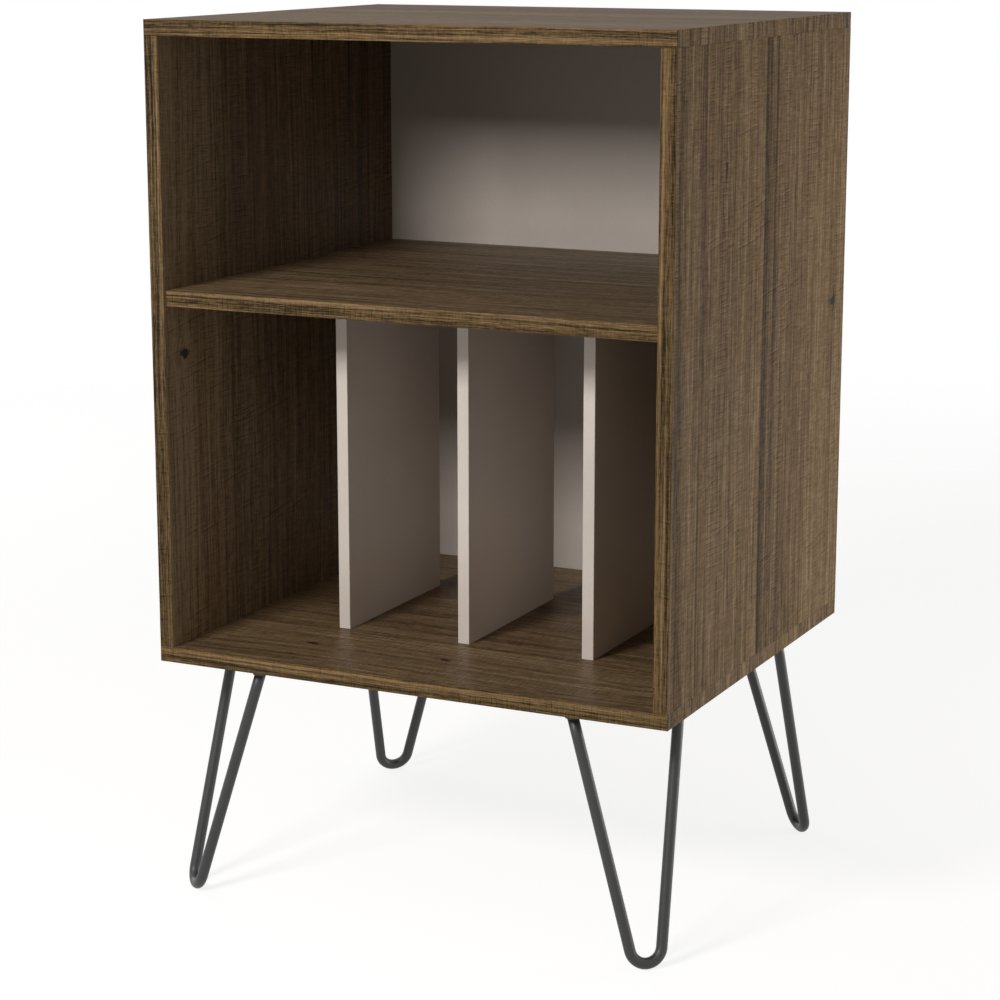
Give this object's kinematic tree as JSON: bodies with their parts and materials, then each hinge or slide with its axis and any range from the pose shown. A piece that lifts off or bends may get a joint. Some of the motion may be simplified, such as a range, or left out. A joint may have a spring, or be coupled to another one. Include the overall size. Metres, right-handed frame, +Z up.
{
  "type": "record storage stand",
  "caption": "Open two-bay cabinet for a turntable and records, with upright dividers, a middle shelf and splayed hairpin legs.",
  "frame": {"origin": "on the floor, under the middle of the stand's outline", "axes": "+Z up, -Y towards the open front, +X to the right seen from the front"},
  "size_m": [0.53, 0.46, 0.8469],
  "materials": {
    "walnut_laminate": "satin dark walnut wood-grain laminate on particle board, with saw marks and fine dark streaks",
    "pale_laminate": "smooth satin warm pale grey-beige laminate",
    "leg_paint": "satin charcoal powder coat",
    "zinc_hardware": "bright zinc plate",
    "dowel_beech": "bare fluted beech"
  },
  "bodies": {
    "root": {"top_panel": "walnut_laminate", "bottom_panel": "walnut_laminate", "left_side_panel": "walnut_laminate", "right_side_panel": "walnut_laminate", "middle_shelf": "walnut_laminate", "back_panel": "pale_laminate", "left_divider": "pale_laminate", "centre_divider": "pale_laminate", "right_divider": "pale_laminate", "top_dowel_left_front": "dowel_beech", "base_screw_left_front": "zinc_hardware", "shelf_cam_bolt_left_front": "zinc_hardware", "shelf_cam_lock_left_front": "zinc_hardware", "top_dowel_left_rear": "dowel_beech", "base_screw_left_rear": "zinc_hardware", "shelf_cam_bolt_left_rear": "zinc_hardware", "shelf_cam_lock_left_rear": "zinc_hardware", "base_dowel_left": "dowel_beech", "shelf_dowel_left": "dowel_beech", "top_dowel_right_front": "dowel_beech", "base_screw_right_front": "zinc_hardware", "shelf_cam_bolt_right_front": "zinc_hardware", "shelf_cam_lock_right_front": "zinc_hardware", "top_dowel_right_rear": "dowel_beech", "base_screw_right_rear": "zinc_hardware", "shelf_cam_bolt_right_rear": "zinc_hardware", "shelf_cam_lock_right_rear": "zinc_hardware", "base_dowel_right": "dowel_beech", "shelf_dowel_right": "dowel_beech", "left_divider_screw_front": "zinc_hardware", "left_divider_screw_rear": "zinc_hardware", "left_divider_dowel": "dowel_beech", "centre_divider_screw_front": "zinc_hardware", "centre_divider_screw_rear": "zinc_hardware", "centre_divider_dowel": "dowel_beech", "right_divider_screw_front": "zinc_hardware", "right_divider_screw_rear": "zinc_hardware", "right_divider_dowel": "dowel_beech", "front_left_leg_rod": "leg_paint", "front_left_leg_plate": "leg_paint", "front_left_leg_screw_1": "zinc_hardware", "front_left_leg_screw_2": "zinc_hardware", "front_left_leg_screw_3": "zinc_hardware", "front_right_leg_rod": "leg_paint", "front_right_leg_plate": "leg_paint", "front_right_leg_screw_1": "zinc_hardware", "front_right_leg_screw_2": "zinc_hardware", "front_right_leg_screw_3": "zinc_hardware", "rear_left_leg_rod": "leg_paint", "rear_left_leg_plate": "leg_paint", "rear_left_leg_screw_1": "zinc_hardware", "rear_left_leg_screw_2": "zinc_hardware", "rear_left_leg_screw_3": "zinc_hardware", "rear_right_leg_rod": "leg_paint", "rear_right_leg_plate": "leg_paint", "rear_right_leg_screw_1": "zinc_hardware", "rear_right_leg_screw_2": "zinc_hardware", "rear_right_leg_screw_3": "zinc_hardware"}
  },
  "joints": []
}
